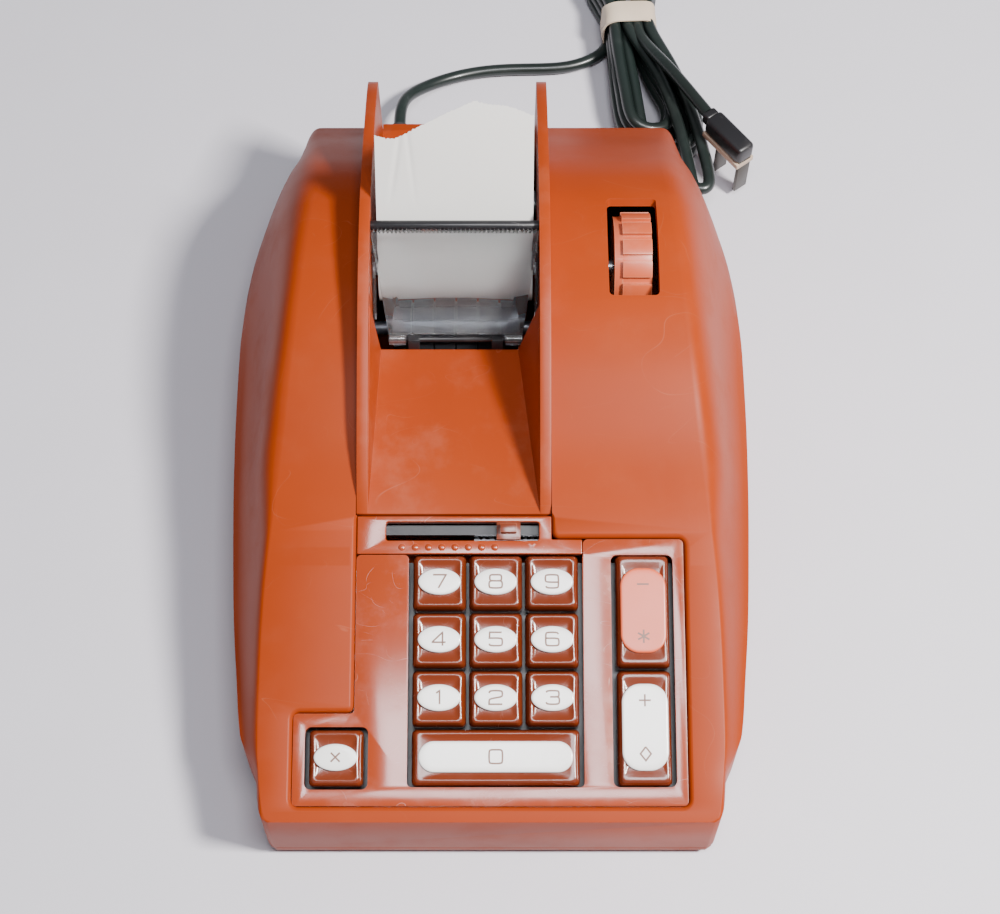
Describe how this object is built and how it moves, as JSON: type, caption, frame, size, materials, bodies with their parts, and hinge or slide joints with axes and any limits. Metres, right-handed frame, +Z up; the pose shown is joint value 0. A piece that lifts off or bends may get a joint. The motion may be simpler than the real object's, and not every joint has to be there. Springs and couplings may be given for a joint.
{
  "type": "printing desk calculator",
  "caption": "Orange moulded desk calculator that prints on a paper roll: sloping keyboard, clear tear-off window between raised fins, side thumbwheel and mains lead.",
  "frame": {"origin": "centre of the case's footprint on the table, under the feet", "axes": "+X to the user's right, +Y from the keyboard to the rear, +Z up"},
  "size_m": [0.2022, 0.406, 0.1305],
  "materials": {
    "case_abs": "glossy orange ABS with fine scratches",
    "key_abs": "glossy brown-red ABS",
    "insert_white": "glossy white, printed legend",
    "insert_salmon": "glossy salmon, printed legend",
    "wheel_abs": "satin salmon-orange",
    "clear_acrylic": "clear, transparent",
    "black_plastic": "satin black",
    "steel": "plated",
    "foot_rubber": "matt",
    "platen_rubber": "ground matt",
    "paper": "uncoated adding-machine paper",
    "nylon": "natural nylon",
    "ink_felt": "inked felt",
    "motor_paint": "enamelled can",
    "cord_sheath": "satin moulded sheath",
    "tape": "cream tape",
    "plug_plastic": "moulded black",
    "plug_insulator": "beige moulding",
    "brass": "plain"
  },
  "bodies": {
    "case": {"base_tray": "case_abs", "feet": "foot_rubber", "case_screws": "steel", "upper_cover": "case_abs", "paper_channel": "case_abs", "keyboard_plate": "case_abs", "scale_strip": "case_abs", "key_guide": "black_plastic", "spring_comb": "steel", "side_frames": "steel", "carriage_rail": "black_plastic", "window_hinge": "black_plastic", "paper_bail": "black_plastic", "roll_spindle": "steel", "paper_strip": "paper", "motor": "motor_paint", "strain_relief": "cord_sheath", "cord_lead": "cord_sheath", "cord_hank": "cord_sheath", "hank_band": "tape", "plug_body": "plug_plastic", "plug_face": "plug_insulator", "plug_pins": "brass"},
    "key_0_body": {"key_0": "key_abs", "insert_0": "insert_white"},
    "key_1_body": {"key_1": "key_abs", "insert_1": "insert_white"},
    "key_2_body": {"key_2": "key_abs", "insert_2": "insert_white"},
    "key_3_body": {"key_3": "key_abs", "insert_3": "insert_white"},
    "key_4_body": {"key_4": "key_abs", "insert_4": "insert_white"},
    "key_5_body": {"key_5": "key_abs", "insert_5": "insert_white"},
    "key_6_body": {"key_6": "key_abs", "insert_6": "insert_white"},
    "key_7_body": {"key_7": "key_abs", "insert_7": "insert_white"},
    "key_8_body": {"key_8": "key_abs", "insert_8": "insert_white"},
    "key_9_body": {"key_9": "key_abs", "insert_9": "insert_white"},
    "key_times_body": {"key_times": "key_abs", "insert_times": "insert_white"},
    "key_minus_body": {"key_minus": "key_abs", "insert_minus": "insert_salmon"},
    "key_plus_body": {"key_plus": "key_abs", "insert_plus": "insert_white"},
    "pointer": {"entry_pointer": "key_abs", "pin_carriage": "steel"},
    "window": {"tear_off_window": "clear_acrylic"},
    "platen": {"platen_roller": "platen_rubber", "platen_shaft": "steel", "feed_thumbwheel": "wheel_abs"},
    "roll": {"paper_roll": "paper"},
    "print_shaft": {"type_drum": "steel", "drive_gear": "nylon"},
    "inker": {"ink_roller": "ink_felt"},
    "rotor": {"motor_pinion": "steel"}
  },
  "joints": [
    {"name": "key_0_press", "type": "slide", "parent": "case", "child": "key_0_body", "axis": [0, 0.2555, -0.9668], "range_m": [0, 0.0035], "stiffness_N_per_m": 150, "springref_m": -0.002},
    {"name": "key_1_press", "type": "slide", "parent": "case", "child": "key_1_body", "axis": [0, 0.2555, -0.9668], "range_m": [0, 0.0035], "stiffness_N_per_m": 150, "springref_m": -0.002},
    {"name": "key_2_press", "type": "slide", "parent": "case", "child": "key_2_body", "axis": [0, 0.2555, -0.9668], "range_m": [0, 0.0035], "stiffness_N_per_m": 150, "springref_m": -0.002},
    {"name": "key_3_press", "type": "slide", "parent": "case", "child": "key_3_body", "axis": [0, 0.2555, -0.9668], "range_m": [0, 0.0035], "stiffness_N_per_m": 150, "springref_m": -0.002},
    {"name": "key_4_press", "type": "slide", "parent": "case", "child": "key_4_body", "axis": [0, 0.2555, -0.9668], "range_m": [0, 0.0035], "stiffness_N_per_m": 150, "springref_m": -0.002},
    {"name": "key_5_press", "type": "slide", "parent": "case", "child": "key_5_body", "axis": [0, 0.2555, -0.9668], "range_m": [0, 0.0035], "stiffness_N_per_m": 150, "springref_m": -0.002},
    {"name": "key_6_press", "type": "slide", "parent": "case", "child": "key_6_body", "axis": [0, 0.2555, -0.9668], "range_m": [0, 0.0035], "stiffness_N_per_m": 150, "springref_m": -0.002},
    {"name": "key_7_press", "type": "slide", "parent": "case", "child": "key_7_body", "axis": [0, 0.2555, -0.9668], "range_m": [0, 0.0035], "stiffness_N_per_m": 150, "springref_m": -0.002},
    {"name": "key_8_press", "type": "slide", "parent": "case", "child": "key_8_body", "axis": [0, 0.2555, -0.9668], "range_m": [0, 0.0035], "stiffness_N_per_m": 150, "springref_m": -0.002},
    {"name": "key_9_press", "type": "slide", "parent": "case", "child": "key_9_body", "axis": [0, 0.2555, -0.9668], "range_m": [0, 0.0035], "stiffness_N_per_m": 150, "springref_m": -0.002},
    {"name": "key_times_press", "type": "slide", "parent": "case", "child": "key_times_body", "axis": [0, 0.2555, -0.9668], "range_m": [0, 0.0035], "stiffness_N_per_m": 150, "springref_m": -0.002},
    {"name": "key_minus_press", "type": "slide", "parent": "case", "child": "key_minus_body", "axis": [0, 0.2555, -0.9668], "range_m": [0, 0.0035], "stiffness_N_per_m": 150, "springref_m": -0.002},
    {"name": "key_plus_press", "type": "slide", "parent": "case", "child": "key_plus_body", "axis": [0, 0.2555, -0.9668], "range_m": [0, 0.0035], "stiffness_N_per_m": 150, "springref_m": -0.002},
    {"name": "pointer_slide", "type": "slide", "parent": "case", "child": "pointer", "axis": [1, 0, 0], "range_m": [-0.038, 0.006]},
    {"name": "window_flip", "type": "hinge", "parent": "case", "child": "window", "pos_m": [-0.0129, 0.0315, 0.0605], "axis": [1, 0, 0], "range_deg": [0, 36]},
    {"name": "platen_spin", "type": "hinge", "parent": "case", "child": "platen", "pos_m": [0, 0.058, 0.068], "axis": [1, 0, 0], "continuous": true},
    {"name": "roll_spin", "type": "hinge", "parent": "case", "child": "roll", "pos_m": [-0.0129, 0.104, 0.042], "axis": [1, 0, 0], "continuous": true},
    {"name": "print_spin", "type": "hinge", "parent": "case", "child": "print_shaft", "pos_m": [0, 0.04174, 0.05174], "axis": [1, 0, 0], "continuous": true},
    {"name": "ink_spin", "type": "hinge", "parent": "case", "child": "inker", "pos_m": [0, 0.03, 0.04], "axis": [1, 0, 0], "continuous": true},
    {"name": "motor_spin", "type": "hinge", "parent": "case", "child": "rotor", "pos_m": [0, 0.0301, 0.03075], "axis": [1, 0, 0], "continuous": true}
  ],
  "couplings": [
    {"joint": "roll_spin", "follows": "platen_spin", "ratio": -0.5},
    {"joint": "ink_spin", "follows": "print_spin", "ratio": -1.3571},
    {"joint": "motor_spin", "follows": "print_spin", "ratio": -3}
  ]
}
